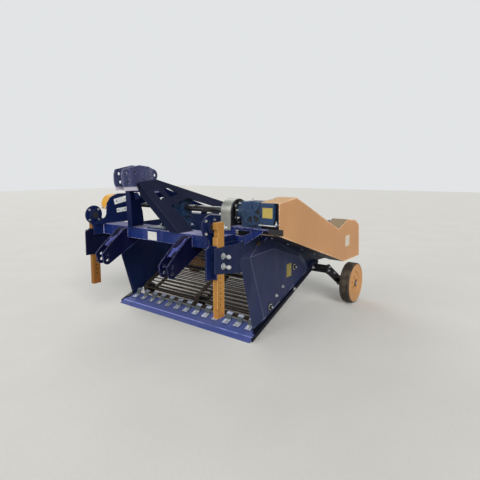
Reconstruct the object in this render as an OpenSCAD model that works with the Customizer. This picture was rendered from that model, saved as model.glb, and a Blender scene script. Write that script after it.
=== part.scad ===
// Rear-mounted potato digger for a tractor's three-point hitch.
// X points forward, Y to the left and Z up. Places along X are first counted from the tip of the
// share, and the whole machine is then moved so that the origin is under the middle of its box.

/* [Digging] */
// Clear width between the two side walls
work_w = 1624; // [1400:1:1900]
// Angle at which share and side rails rise to the rear
dig_angle = 19.6; // [16:0.1:22]
// Length of the share along its slope
share_len = 212; // [180:1:240]
// Thickness of the share's blade
share_t = 12; // [8:1:16]
// Number of zinc plated fingers behind the share
finger_count = 13; // [9:1:16]
// Width of one finger
finger_w = 62; // [40:1:80]

/* [Side walls] */
// Thickness of a side wall
wall_t = 8; // [6:1:12]
// Height of a side wall's top edge over the floor
wall_top = 860; // [820:1:880]
// How far the side rails stand outside the walls
rail_out = 32; // [25:1:40]
// Thickness of a side rail
rail_t = 10; // [6:1:12]
// Height of a wall's front part, to which the stand is clamped
clamp_top = 845; // [830:1:860]
// How far the pressed outer panel stands out of a wall
panel_rise = 24; // [12:1:28]

/* [Main beam] */
// Height of the beam's top over the floor
beam_top = 900; // [895:1:960]
// Height of the beam
beam_h = 100; // [80:1:120]
// Depth of the beam from front to back
beam_d = 205; // [160:1:215]
// Wall of the beam's box
beam_wall = 8; // [5:1:12]
// Room between the beam's end and the side wall
beam_room = 83; // [75:1:110]

/* [Hitch] */
// Distance between the lower link points
link_spread = 820; // [760:1:900]
// Diameter of the lower link holes
link_hole_d = 29; // [22:0.1:37]
// Clear gap between the two plates of a lower link bracket
link_gap = 76; // [56:1:84]
// Thickness of a link plate
link_t = 14; // [10:1:20]
// Diameter of the top link holes
top_hole_d = 25.6; // [19:0.1:32]
// Clear gap between the two top link ears
ear_gap = 84; // [55:1:90]
// Thickness of an ear
ear_t = 12; // [8:1:16]
// Lean of the two mast plates towards each other
mast_lean = 30; // [27:1:31]
// Thickness of a mast plate
mast_t = 12; // [8:1:14]
// Width of the folded flange on a mast plate's front edge
mast_flange = 60; // [40:1:70]

/* [Stands] */
// Width of a stand bar from front to back
stand_w = 80; // [70:1:84]
// Thickness of a stand bar
stand_t = 42; // [30:1:44]
// Length of a stand bar
stand_len = 724; // [690:1:800]
// Height of its lower end over the floor
stand_low = 306; // [280:1:340]
// Distance between two holes of the stand
stand_pitch = 42; // [36:1:44]
// Diameter of those holes
stand_hole_d = 18; // [12:1:22]
// Clearance of the stand in its guide
stand_gap = 0.3; // [0.2:0.1:1]

/* [Wheels] */
// Radius of a rear wheel
wheel_r = 214; // [190:1:230]
// Width of the tyre
tyre_w = 104; // [90:1:120]
// Distance from the middle to a tyre's outer face
wheel_out = 1183; // [1160:1:1220]
// Radius of the steel rim
rim_r = 201; // [185:1:204]
// Radius of the stub axle
axle_r = 20; // [15:1:25]
// Running clearance between axle and hub
axle_gap = 0.05; // [0.03:0.01:0.1]

/* [Web] */
// Diameter of a web rod
rod_d = 11; // [9:1:14]
// Distance between two rods
rod_pitch = 48; // [40:1:60]
// Radius of the rollers that the web runs over
roller_r = 58; // [45:1:62]
// Thickness of the rubber belts that hold the rods
belt_t = 9; // [8:1:12]

/* [Drive] */
// Height of the cross shaft over the floor
shaft_z = 1080; // [1070:1:1090]
// Radius of the cross shaft's tube
shaft_r = 28; // [20:1:32]
// Radius of the splined stub for the tractor's shaft
pto_r = 17.45; // [15:0.05:22]
// Radius of the half-round shaft guards
guard_r = 103; // [90:1:110]
// Width of the half-round shaft guards
guard_w = 100; // [80:1:106]
// Width of the side gearbox
gear_w = 176; // [150:1:180]
// Distance from the middle to the chain cover's outer face
cover_out = 1145; // [1120:1:1170]
// Thickness of the chain cover's sheet
cover_t = 3; // [2:0.5:5]
// Depth of the chain cover
cover_d = 160; // [120:1:160]

/* [Hidden] */
$fn = 64;

// Half of the inner width, the outer face of a wall and the inner face of its rail
wall_in = work_w / 2;
wall_out = wall_in + wall_t;
rail_in = wall_out + rail_out;

// Front of the machine is the tip of the top link ears, its rear the back of the tyres
wheel_x = -1528;
ear_front = 604;
mid_x = (ear_front + wheel_x - wheel_r) / 2;

// The beam's faces
beam_front = 250;
beam_rear = beam_front - beam_d;
beam_low = beam_top - beam_h;
beam_half = wall_in - beam_room;

// Point in the X-Z plane at s along the slope and n above it
function slope(s, n) = [
    -s * cos(dig_angle) + n * sin(dig_angle),
    s * sin(dig_angle) + n * cos(dig_angle)
];

// The web's two ends and the slope between them
web_front = [-345, 108];
web_rear = [-1500, 680];
web_len = norm(web_rear - web_front);
web_angle = atan2(web_rear[1] - web_front[1], web_front[0] - web_rear[0]);
web_edge_gap = 22;
web_half = wall_in - web_edge_gap;
seat = 0.3;

module placed() {
    translate([-mid_x, 0, 0]) children();
}

module on_right() {
    mirror([0, 1, 0]) children();
}

// Plate in the X-Z plane, from y0 to y0 + t
module plate_xz(points, y0, t) {
    translate([0, y0 + t, 0])
        rotate([90, 0, 0])
            linear_extrude(t) polygon(points);
}

// Round bar along Y between y0 and y1
module bar_y(r, x, z, y0, y1) {
    translate([x, y1, z])
        rotate([90, 0, 0]) cylinder(r = r, h = y1 - y0);
}

// Ring of hexagonal bolt heads with their axes along Y, on radius r about x and z
module bolts_y(count, r, x, z, y0, y1) {
    head_r = 8;
    for (i = [0 : count - 1]) {
        turn = (i + 0.5) * 360 / count;
        bar_y(head_r, x + r * cos(turn), z + r * sin(turn), y0, y1, $fn = 6);
    }
}

// Things drawn with X along the share's slope and Z square to it
module on_slope() {
    rotate([0, dig_angle, 0]) children();
}

module share() {
    edge_z = 3;
    bevel = 34;
    rib_s = 52;
    rib = 8;
    color([0.2, 0.27, 0.6]) placed() {
        plate_xz([
            [0, 0], [-edge_z, edge_z], slope(bevel, share_t),
            slope(rib_s, share_t), slope(rib_s + rib / 2, share_t + rib / 2), slope(rib_s + rib, share_t),
            slope(share_len, share_t), slope(share_len, 0)
        ], -rail_in, 2 * rail_in);
    }
}

// Zinc plated fingers: a foot bolted on the share, a raised tab behind it and a lip on top
module share_fingers() {
    foot = 64;
    foot_rear = 28;
    finger_t = 6;
    tab_run = 30;
    tab_rise = 34;
    lip = 24;
    side_gap = 30;
    bolt_back = 32;
    pitch = (work_w - 2 * side_gap - finger_w) / (finger_count - 1);
    color([0.72, 0.74, 0.76]) placed() on_slope()
        translate([-share_len + foot_rear, 0, share_t])
            for (i = [0 : finger_count - 1])
                translate([0, -wall_in + side_gap + i * pitch, 0])
                    difference() {
                        plate_xz([
                            [foot, 0], [0, 0], [-tab_run, tab_rise], [-tab_run - lip, tab_rise + 4],
                            [-tab_run - lip, tab_rise + 4 + finger_t], [-tab_run + 4, tab_rise + finger_t],
                            [4, finger_t], [foot, finger_t]
                        ], 0, finger_w);
                        translate([foot - bolt_back, finger_w / 2, -1])
                            cylinder(d = 13, h = finger_t + 2, $fn = 24);
                    }
}

// Corners of a side wall, which stands on the share and carries the beam's end
wall_foot_s = 182;
wall_front = 393;
wall_corner = [5, 592];
wall_rear_x = -1640;
wall_low_rear = [-1540, 440];
drive_bore_r = 27;

module side_wall() {
    color([0.13, 0.18, 0.42]) placed()
        difference() {
            plate_xz([
                slope(wall_foot_s, share_t), wall_corner, [wall_front, 657], [wall_front, clamp_top],
                [-60, clamp_top], [-230, wall_top], [wall_rear_x, wall_top], [wall_rear_x, 560],
                wall_low_rear, slope(1330, share_t)
            ], wall_in, wall_t);
            bar_y(drive_bore_r, web_rear[0], web_rear[1], wall_in - 1, wall_out + 1);
        }
}

module side_wall_left() {
    side_wall();
}

module side_wall_right() {
    on_right() side_wall();
}

// Pressed outer panel of a side wall and the rail below it
rail_s0 = 30;
rail_s1 = 1345;
rail_low = -10;
rail_top = share_t + rail_t;
panel_low = rail_top - 3;
panel_base = [[-215, 812], [-420, 800], [-930, 600], slope(1190, panel_low)];
panel_face = [
    slope(266, panel_low), [-18, 717], [-390, 729], [-858, 568], slope(1130, panel_low)
];

module side_panel(back) {
    skin = 1;
    base_front = [slope(112 + back, panel_low), [94 - back, 717]];
    color([0.15, 0.2, 0.45]) placed() {
        hull() {
            plate_xz(concat(base_front, panel_base), wall_out, skin);
            plate_xz(panel_face, wall_out + panel_rise - skin, skin);
        }
        on_slope() {
            translate([-rail_s1, wall_out, share_t]) cube([rail_s1 - 100, rail_out, rail_t]);
            translate([-rail_s1, rail_in, rail_low]) cube([rail_s1 - rail_s0, rail_t, rail_top - rail_low]);
        }
    }
}

module side_panel_left() {
    side_panel(0);
}

module side_panel_right() {
    on_right() side_panel(50);
}

// Front box beam that carries mast, link brackets and ends
module main_beam() {
    color([0.16, 0.22, 0.5]) placed()
        translate([beam_rear, -beam_half, beam_low])
            difference() {
                cube([beam_d, 2 * beam_half, beam_h]);
                translate([beam_wall, -1, beam_wall])
                    cube([beam_d - 2 * beam_wall, 2 * beam_half + 2, beam_h - 2 * beam_wall]);
            }
}

// Round headed plate that closes a beam end
end_t = 12;
hub_x = 352;
hub_z = 995;
hub_r = 88;
hub_cap_r = 46;
hub_cap_h = 22;

module end_flange() {
    face = beam_half + end_t;
    color([0.12, 0.17, 0.38]) placed() {
        plate_xz([
            [beam_rear, beam_low], [beam_rear, beam_top], [beam_front - 60, beam_top], [hub_x - 80, hub_z - 34],
            [hub_x + 70, hub_z - 50], [hub_x + 8, beam_top - 12], [hub_x + 4, beam_low]
        ], beam_half, end_t);
        bar_y(hub_r, hub_x, hub_z, beam_half, face);
        bar_y(hub_cap_r, hub_x, hub_z, beam_half - hub_cap_h, face + hub_cap_h);
        bolts_y(4, 68, hub_x, hub_z, beam_half - 9, face + 9);
    }
}

module end_flange_left() {
    end_flange();
}

module end_flange_right() {
    on_right() end_flange();
}

// Guide in which a stand slides, between this bracket and the side wall
stand_out = wall_in - stand_gap;
stand_in = stand_out - stand_t;
bracket_t = 12;
bracket_out = stand_in - stand_gap;
bracket_in = bracket_out - bracket_t;
stand_front = 356;
bracket_front = 430;
stand_rear = stand_front - stand_w;
guide_t = 10;
guide_top = 858;
guide_low = 606;

module stand_bracket() {
    spacer_d = 160;
    spacer_in = 20;
    spacer_low = 10;
    spacer_h = beam_h - 5 * spacer_low;
    rear_low = guide_low + 60;
    color([0.13, 0.18, 0.4]) placed() {
        plate_xz([
            [beam_rear, beam_low], [beam_rear, guide_top], [bracket_front - 40, guide_top],
            [bracket_front, guide_top - 20], [bracket_front, guide_low],
            [stand_rear, guide_low], [stand_rear - 95, guide_low + 110]
        ], bracket_in, bracket_t);
        translate([beam_rear + spacer_in, beam_half + end_t, beam_low + spacer_low])
            cube([spacer_d, bracket_in - beam_half - end_t, spacer_h]);
        translate([stand_rear - stand_gap - guide_t, bracket_out, rear_low])
            cube([guide_t, wall_in - bracket_out, guide_top - rear_low]);
        translate([stand_front + stand_gap, bracket_out, guide_low])
            cube([guide_t, wall_in - bracket_out, guide_top - guide_low]);
    }
}

module stand_bracket_left() {
    stand_bracket();
}

module stand_bracket_right() {
    on_right() stand_bracket();
}

// Perforated parking stand
module stand() {
    hole_count = 6;
    notch = 14;
    color([0.82, 0.55, 0.2]) placed()
        difference() {
            translate([stand_rear, stand_in, stand_low]) cube([stand_w, stand_t, stand_len]);
            for (i = [0 : hole_count - 1])
                bar_y(stand_hole_d / 2, (stand_front + stand_rear) / 2, stand_low + 100 + i * stand_pitch,
                    stand_in - 1, stand_out + 1);
            translate([stand_front - notch, stand_in - 1, stand_low + stand_len - 110])
                cube([notch + 1, stand_t + 2, 60]);
        }
}

module stand_left() {
    stand();
}

module stand_right() {
    on_right() stand();
}

// One mast plate, drawn flat with X forward and Y up its slope, and leaned inwards
mast_foot_y = 330;
stay_x = -790;
stay_foot = 90;
tube_h = 80;
tube_top = wall_top + tube_h;

mast_fold = atan2(471 - 257, 484 + 20);
fold_t = 8;
fold_len = 545;

module mast() {
    stay_low = (tube_top - beam_top) / cos(mast_lean);
    color([0.14, 0.19, 0.42]) placed()
        difference() {
            translate([0, mast_foot_y, beam_top])
                rotate([90 + mast_lean, 0, 0]) {
                    linear_extrude(mast_t)
                        difference() {
                            polygon([
                                [257, -20], [471, 484], [271, 506], [stay_x, 131], [stay_x, stay_low - 20],
                                [stay_x + stay_foot, stay_low - 20], [stay_x + stay_foot, 75], [-379, 188],
                                [-6, 314], [227, 258], [172, 173], [115, 60], [95, -20]
                            ]);
                            polygon([[354, 402], [294, 410], [249, 322], [304, 304]]);
                            polygon([[241, 415], [172, 426], [88, 360], [198, 333]]);
                        }
                    translate([257, -20, 0])
                        rotate([90, 0, 90 - mast_fold])
                            translate([0, 0, 2 - fold_t])
                                linear_extrude(fold_t)
                                    polygon([
                                        [0, 1], [fold_len, 1], [fold_len, mast_flange / 2],
                                        [fold_len - 90, mast_t + mast_flange], [0, mast_t + mast_flange]
                                    ]);
                }
            translate([-100, 0, beam_top - 100]) cube([600, 500, 100]);
            translate([stay_x - 50, 0, tube_top - 100]) cube([400, 500, 100]);
        }
}

module mast_left() {
    mast();
}

module mast_right() {
    on_right() mast();
}

// Cross plate between the mast plates, on which the ears stand
tie_top = 1246;
tie_t = 14;

// Inner face of the mast plate at height z
function mast_face(z) = mast_foot_y - (z - beam_top) * tan(mast_lean) - mast_t / cos(mast_lean);

module mast_tie() {
    top_y = mast_face(tie_top);
    low_y = mast_face(tie_top - tie_t);
    color([0.2, 0.26, 0.52]) placed()
        translate([270, 0, 0])
            rotate([90, 0, 90])
                linear_extrude(130)
                    polygon([
                        [-low_y, tie_top - tie_t], [low_y, tie_top - tie_t],
                        [top_y, tie_top], [-top_y, tie_top]
                    ]);
}

// Two ears with a choice of holes for the top link
ear_holes = [[558, 1387], [476, 1399], [546, 1320], [267, 1374]];

module top_link_ears() {
    base_x = [447, 576];
    base_z = 1252;
    base_t = 10;
    strip = 22;
    heel = [292, 1374];
    heel_r = 52;
    half = ear_gap / 2 + ear_t;
    color([0.22, 0.26, 0.48]) placed() {
        translate([base_x[0], -ear_gap / 2, base_z]) cube([base_x[1] - base_x[0], ear_gap, base_t]);
        for (side = [0, 1])
            mirror([0, side, 0])
                translate([base_x[0] + strip, 0, base_z])
                    rotate([90, 0, 90])
                        linear_extrude(base_x[1] - base_x[0] - strip)
                            polygon([[half, 0], [half + strip, 0], [half + strip, 4], [half, 3 * base_t]]);
        for (side = [-1, 1])
            translate([0, side * (ear_gap + ear_t) / 2 - ear_t / 2, 0])
                difference() {
                    union() {
                        plate_xz([
                            [270, tie_top], [400, tie_top], [base_x[0], base_z], [base_x[1], base_z],
                            [600, 1306], [ear_front, 1330], [ear_front, 1386], [590, 1422],
                            [430, 1456], [335, 1446], [262, 1416], [240, 1374], [250, 1344]
                        ], 0, ear_t);
                        bar_y(heel_r, heel[0], heel[1], 0, ear_t);
                    }
                    for (hole = ear_holes)
                        bar_y(top_hole_d / 2, hole[0], hole[1], -1, ear_t + 1);
                }
    }
}

// Lower link bracket: two plates that slope down to the front from the beam
link_low = [474, 623];
link_up = [477, 675];

module link_bracket() {
    nose_r = 42;
    tail = beam_rear + 25;
    color([0.14, 0.2, 0.48]) placed()
        translate([0, link_spread / 2, 0]) {
            for (side = [-1, 1])
                translate([0, side * (link_gap + link_t) / 2 - link_t / 2, 0])
                    difference() {
                        union() {
                            plate_xz([
                                [beam_front, beam_top - 6], [296, 874], [452, 752], [527, 682],
                                [516, link_low[1]], [456, link_low[1] - 38], [tail + 20, beam_low - 25],
                                [tail, beam_low], [beam_front, beam_low]
                            ], 0, link_t);
                            bar_y(nose_r, link_low[0], link_low[1], 0, link_t);
                        }
                        bar_y(link_hole_d / 2, link_low[0], link_low[1], -1, link_t + 1);
                        bar_y(link_hole_d / 2, link_up[0], link_up[1], -1, link_t + 1);
                    }
            plate_xz([
                [beam_front, 886], [288, 866], [330, 826], [386, 802], [396, 780], [442, 744], [434, 733],
                [320, 812], [280, 848], [beam_front, 862]
            ], -link_gap / 2, link_gap);
        }
}

module link_bracket_left() {
    link_bracket();
}

module link_bracket_right() {
    on_right() link_bracket();
}

// Gearbox in the middle, on a seat plate over the beam
shaft_x = -50;
seat_t = 12;
box_half = 96;

module centre_gearbox() {
    color([0.12, 0.24, 0.38]) placed() {
        translate([-150, -120, beam_top]) cube([370, 240, seat_t]);
        difference() {
            union() {
                translate([-135, -box_half, beam_top + seat_t])
                    cube([200, 2 * box_half, shaft_z + 84 - beam_top - seat_t]);
                translate([65, 0, shaft_z]) rotate([0, 90, 0]) cylinder(r = 62, h = 26);
            }
            for (side = [-1, 1])
                translate([-150, side * box_half - 24, beam_top + seat_t + 24]) cube([240, 48, 60]);
        }
    }
}

module pto_stub() {
    color([0.6, 0.6, 0.6]) placed()
        translate([91, 0, shaft_z]) rotate([0, 90, 0]) cylinder(r = pto_r, h = 95);
}

// Cross shafts from the middle gearbox to both sides
module cross_shafts() {
    color([0.1, 0.1, 0.11]) placed() {
        bar_y(shaft_r, shaft_x, shaft_z, box_half, gear_in);
        bar_y(shaft_r, shaft_x, shaft_z, -right_shaft_end, -box_half);
    }
}

// Side gearbox and the platform it stands on
platform_z = 958;
platform_t = 10;
platform_front = 60;
platform_rear = -240;
platform_out = cover_out + 38;
cover_in = cover_out - cover_d;
case_t = 5;
gear_neck = 56;
gear_in = cover_in - case_t - gear_w - gear_neck;
platform_in = gear_in - 48;
guard_in = platform_in - guard_w;
right_shaft_end = 790;

module gearbox_platform() {
    gusset_t = 10;
    lip = 18;
    lip_h = 42;
    lip_w = 118;
    lip_rise = 4;
    slot = 10;
    gusset_in = guard_in - 40;
    gusset_out = cover_in + 25;
    color([0.16, 0.22, 0.5]) placed() {
        translate([0, 0, platform_z])
            linear_extrude(platform_t)
                polygon([
                    [platform_rear, platform_in], [platform_front - 34, platform_in],
                    [platform_front, platform_in + 26], [platform_front, platform_out],
                    [platform_front - lip, platform_out], [platform_front - lip, cover_in - case_t],
                    [platform_rear, cover_in - case_t]
                ]);
        translate([platform_front - lip, platform_out - lip_w, platform_z + platform_t + lip_rise - lip_h])
            cube([lip, lip_w, lip_h]);
        translate([beam_rear - gusset_t, 0, 0])
            rotate([90, 0, 90])
                linear_extrude(gusset_t)
                    difference() {
                        polygon([
                            [gusset_in, beam_low + 20], [gusset_in, beam_top - 10],
                            [platform_in, platform_z], [gusset_out, platform_z],
                            [gusset_out - 10, platform_z - 25],
                            [wall_out + slot, clamp_top - 20], [wall_out + slot, clamp_top + slot],
                            [wall_in - slot, clamp_top + slot], [wall_in - slot, clamp_top - 5],
                            [platform_in + 30, beam_low + 20]
                        ]);
                        polygon([
                            [beam_half + 11, platform_z - 20], [cover_in - 75, platform_z - 20],
                            [wall_in + 8, beam_top - 5], [beam_half + 11, beam_top - 5]
                        ]);
                    }
        translate([platform_rear, 0, 0])
            rotate([90, 0, 90])
                linear_extrude(gusset_t)
                    polygon([
                        [wall_out, wall_top - 42], [wall_out, platform_z], [cover_in - 30, platform_z],
                        [cover_in - 50, platform_z - 25], [wall_out + 20, wall_top - 42]
                    ]);
    }
}

// Round cap on the box's front with six ribs from its boss, a flat lid beside it and a foot below the lid
module side_gearbox() {
    base = platform_z + platform_t;
    box_in = gear_in + gear_neck;
    box_top = shaft_z + 90;
    front = 40;
    neck_r = 78;
    cap_r = 94;
    cap_x = 60;
    cap_y = box_in + gear_w / 2 + 27;
    cap_z = shaft_z + 5;
    rib_h = 10;
    boss_r = 26;
    lid_y = cover_in + 14;
    lid_w = cover_d - 46;
    lid_low = shaft_z - 76;
    foot_t = 9;
    color([0.1, 0.26, 0.4]) placed() {
        translate([shaft_x - 85, box_in, base]) cube([front - shaft_x + 85, gear_w, box_top - base]);
        bar_y(neck_r, shaft_x, shaft_z, gear_in, box_in + 1);
        bolts_y(6, neck_r - 12, shaft_x, shaft_z, gear_in - 8, gear_in + 1);
        translate([front - 1, cap_y, cap_z]) rotate([0, 90, 0]) cylinder(r = cap_r, h = cap_x - front + 1);
        translate([cap_x - 1, cap_y, cap_z])
            rotate([0, 90, 0]) {
                cylinder(r = boss_r, h = rib_h + 3);
                for (i = [0 : 5])
                    rotate(i * 60 + 12) translate([boss_r - 4, -6, 0]) cube([cap_r - boss_r - 8, 12, rib_h]);
                for (i = [0 : 5])
                    rotate(i * 60 + 42) translate([cap_r - 11, 0, 0]) cylinder(r = 7, h = 8, $fn = 6);
            }
        translate([front - 1, lid_y, lid_low]) cube([31, lid_w, box_top - 4 - lid_low]);
        translate([platform_front - 18, cap_y + 40, base]) cube([18, lid_y - cap_y - 39, box_top - 20 - base]);
        translate([front + 1, lid_y - 12, lid_low - foot_t + 1]) cube([36, lid_w + 40, foot_t]);
    }
}

// Half-round guard of bent sheet, round the axis at x and standing on base
module guard(x, y0, y1, base) {
    sheet = 4;
    difference() {
        union() {
            bar_y(guard_r, x, shaft_z, y0, y1);
            translate([x - guard_r, y0, base]) cube([2 * guard_r, y1 - y0, shaft_z - base]);
        }
        bar_y(guard_r - sheet, x, shaft_z, y0 - 1, y1 + 1);
        translate([x - guard_r + sheet, y0 - 1, base - guard_r])
            cube([2 * (guard_r - sheet), y1 - y0 + 2, shaft_z - base + guard_r]);
    }
}

// Round headed plate with the shaft's bearing, and the guard in front of it
bearing_t = 12;

module shaft_guard_left() {
    color([0.7, 0.72, 0.72]) placed() guard(shaft_x, guard_in, platform_in, platform_z - 28);
}

module bearing_plate_left() {
    base = platform_z + platform_t;
    color([0.14, 0.16, 0.2]) placed()
        difference() {
            union() {
                bar_y(guard_r, shaft_x, shaft_z, platform_in, platform_in + bearing_t);
                translate([shaft_x - guard_r, platform_in, base])
                    cube([2 * guard_r, bearing_t, shaft_z - base]);
                bolts_y(4, 66, shaft_x, shaft_z, platform_in, platform_in + bearing_t + 10);
            }
            bar_y(shaft_r + seat, shaft_x, shaft_z, platform_in - 1, platform_in + bearing_t + 1);
            translate([shaft_x - guard_r - 1, platform_in - 1, base - 100])
                cube([2 * guard_r + 2, bearing_t + 2, 100]);
        }
}

// Upright plate on the right with its own bearing and a guard in front of its round head
upright_y = 700;
upright_t = 10;
right_guard_x = 110;

module upright_plate_right() {
    color([0.14, 0.19, 0.42]) placed() on_right()
        difference() {
            plate_xz([
                [beam_front, beam_top], [beam_front + 104, beam_top + 4], [beam_front + 96, beam_top + 21],
                [248, 964], [232, 990], [224, 1099], [185, 1152], [100, shaft_z + guard_r + 6],
                [-150, shaft_z + guard_r + 6], [-190, 1140], [-190, 920], [-170, beam_top]
            ], upright_y, upright_t);
            bar_y(shaft_r + seat, shaft_x, shaft_z, upright_y - 1, upright_y + upright_t + 1);
        }
}

module shaft_guard_right() {
    face = upright_y + upright_t;
    color([0.85, 0.6, 0.2]) placed() on_right()
        guard(right_guard_x, face, face + guard_w, shaft_z - 40);
}

// Chain cover: sheet box along the outline, open towards its back plate
cover_outline = [
    [38, 1170], [-229, 1199], [-1104, 846], [-1339, 919], [-1560, 893], [-1672, 831],
    [-1703, 485], [-1262, 495], [33, 921]
];

module chain_cover() {
    color([0.78, 0.56, 0.34]) placed()
        translate([0, cover_out, 0])
            rotate([90, 0, 0]) {
                linear_extrude(cover_t) polygon(cover_outline);
                linear_extrude(cover_d)
                    difference() {
                        polygon(cover_outline);
                        offset(delta = -cover_t) polygon(cover_outline);
                    }
            }
}

module chain_case_back() {
    color([0.14, 0.19, 0.42]) placed()
        difference() {
            plate_xz(cover_outline, cover_in - case_t, case_t);
            bar_y(shaft_r - 2, web_rear[0], web_rear[1], cover_in - case_t - 1, cover_in + 1);
        }
}

// Short tubes that hold the chain case to the left wall
module cover_standoffs() {
    color([0.13, 0.18, 0.4]) placed()
        for (at = [[-620, 800], [-1180, 640], [-1600, 620]])
            bar_y(18, at[0], at[1], wall_out, cover_in - case_t);
}

// Closed box beam and round tube across the machine
module top_cross_tube() {
    color([0.14, 0.19, 0.42]) placed()
        translate([stay_x - 10, -wall_out, wall_top]) cube([stay_foot + 20, 2 * wall_out, tube_h]);
}

module rear_cross_tube() {
    tube_r = 26;
    from_rear = 110;
    over_low = 65;
    color([0.14, 0.19, 0.42]) placed()
        bar_y(tube_r, wall_rear_x + from_rear, wall_low_rear[1] + over_low, -wall_in, wall_in);
}

// Tube under the rails that carries both wheel arms
arm_s = 1290;
arm_tube = 60;
arm_room = 80;
arm_t = 14;
arm_in = wheel_out - tyre_w - arm_room - arm_t;

module axle_tube() {
    color([0.1, 0.12, 0.2]) placed() on_slope()
        translate([-arm_s - arm_tube / 2, -arm_in, rail_low - arm_tube])
            difference() {
                cube([arm_tube, 2 * arm_in, arm_tube]);
                translate([5, -1, 5]) cube([arm_tube - 10, 2 * arm_in + 2, arm_tube - 10]);
            }
}

// Perforated arm from the axle tube down to the wheel, with its stub axle
module wheel_arm() {
    top = slope(arm_s, rail_low - arm_tube / 2);
    arm_w = 92;
    boss_r = arm_w / 2 + 6;
    hole_r = 12;
    stub = 12;
    run = norm([top[0] - wheel_x, top[1] - wheel_r]);
    tilt = atan2(top[1] - wheel_r, top[0] - wheel_x);
    color([0.09, 0.1, 0.13]) placed() {
        translate([wheel_x, arm_in + arm_t, wheel_r])
            rotate([90, 0, 0])
                linear_extrude(arm_t)
                    rotate(tilt)
                        difference() {
                            union() {
                                translate([0, -arm_w / 2]) square([run, arm_w]);
                                circle(r = boss_r);
                                translate([run, 0]) circle(r = boss_r);
                            }
                            for (i = [1 : 5])
                                translate([i * run / 6, 0]) circle(r = hole_r);
                        }
        bar_y(axle_r, wheel_x, wheel_r, arm_in - stub, wheel_out - 14);
    }
}

module wheel_arm_left() {
    wheel_arm();
}

module wheel_arm_right() {
    on_right() wheel_arm();
}

// Steel wheel disc with hub, turned about its axle; profile as radius and distance from the middle
module turned(points) {
    placed() translate([wheel_x, 0, wheel_r])
        rotate([-90, 0, 0]) rotate_extrude($fn = 96) polygon(points);
}

module wheel() {
    inner = wheel_out - tyre_w;
    bore = axle_r + axle_gap;
    web_t = 6;
    hub = 38;
    step_r = 118;
    dish = 20;
    color([0.8, 0.56, 0.34]) turned([
        [bore, inner - 30], [hub + 2, inner - 30], [hub + 2, wheel_out - dish - web_t],
        [step_r, wheel_out - dish - web_t], [step_r + 14, wheel_out - web_t - 6],
        [rim_r - web_t, wheel_out - web_t - 2], [rim_r - web_t, inner + 4], [rim_r, inner + 4],
        [rim_r, wheel_out + 1], [rim_r - 10, wheel_out + 1], [rim_r - 16, wheel_out - 4],
        [step_r + 8, wheel_out - 6], [step_r - 4, wheel_out - dish], [hub + 10, wheel_out - dish],
        [hub, wheel_out - 4], [bore, wheel_out - 4]
    ]);
}

module wheel_left() {
    wheel();
}

module wheel_right() {
    on_right() wheel();
}

module tyre() {
    inner = wheel_out - tyre_w;
    color([0.12, 0.11, 0.1]) turned([
        [rim_r, inner], [wheel_r - 6, inner], [wheel_r, inner + 8], [wheel_r, wheel_out - 12],
        [wheel_r - 5, wheel_out - 2], [rim_r, wheel_out - 2]
    ]);
}

module tyre_left() {
    tyre();
}

module tyre_right() {
    on_right() tyre();
}

// The web: rubber belts with steel rods, one closed loop round its end rollers
loop_r = roller_r + seat;

module on_web() {
    translate([web_front[0], 0, web_front[1]]) rotate([0, web_angle, 0]) children();
}

module belt(y0, w) {
    translate([0, y0 + w, 0])
        rotate([90, 0, 0])
            linear_extrude(w)
                difference() {
                    union() {
                        circle(r = loop_r + belt_t);
                        translate([-web_len, 0]) circle(r = loop_r + belt_t);
                        translate([-web_len, -loop_r - belt_t]) square([web_len, 2 * (loop_r + belt_t)]);
                    }
                    circle(r = loop_r);
                    translate([-web_len, 0]) circle(r = loop_r);
                    translate([-web_len, -loop_r]) square([web_len, 2 * loop_r]);
                }
}

module web() {
    mid = loop_r + rod_d / 2 + 0.5;
    belt_w = 50;
    run_count = floor(web_len / rod_pitch);
    bend_count = 4;
    color([0.35, 0.25, 0.18]) placed() on_web() {
        for (y0 = [-web_half, -belt_w / 2, web_half - belt_w])
            belt(y0, belt_w);
        for (i = [0 : run_count], side = [-1, 1])
            translate([-i * web_len / run_count, -web_half, side * mid])
                rotate([-90, 0, 0]) cylinder(d = rod_d, h = 2 * web_half, $fn = 8);
        for (i = [1 : bend_count - 1], end = [0, 1])
            translate([-end * web_len, -web_half, 0])
                rotate([0, (end == 0 ? 0 : 180) + i * 180 / bend_count, 0])
                    translate([0, 0, mid])
                        rotate([-90, 0, 0]) cylinder(d = rod_d, h = 2 * web_half, $fn = 8);
    }
}

// Front and carrying rollers inside the web, each on a shaft between the walls
module web_rollers() {
    bush_r = 20;
    color([0.2, 0.2, 0.22]) placed() on_web()
        for (at = [0, 0.35, 0.68])
            translate([-at * web_len, 0, 0]) {
                for (y0 = [-web_half, -25, web_half - 50])
                    translate([0, y0, 0]) rotate([-90, 0, 0]) cylinder(r = roller_r, h = 50);
                translate([0, -wall_in, 0]) rotate([-90, 0, 0]) cylinder(r = bush_r, h = 2 * wall_in);
            }
}

// Driven rear shaft with its rollers, through the left wall to the chain case
module web_drive_shaft() {
    tip = 0.5;
    color([0.25, 0.25, 0.27]) placed() {
        bar_y(drive_bore_r - 2, web_rear[0], web_rear[1], -wall_out - 40, cover_in - tip);
        for (y0 = [-web_half, -25, web_half - 50])
            bar_y(roller_r, web_rear[0], web_rear[1], y0, y0 + 50);
        for (y0 = [-wall_out - 30, wall_out])
            bar_y(62, web_rear[0], web_rear[1], y0, y0 + 30);
    }
}

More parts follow.
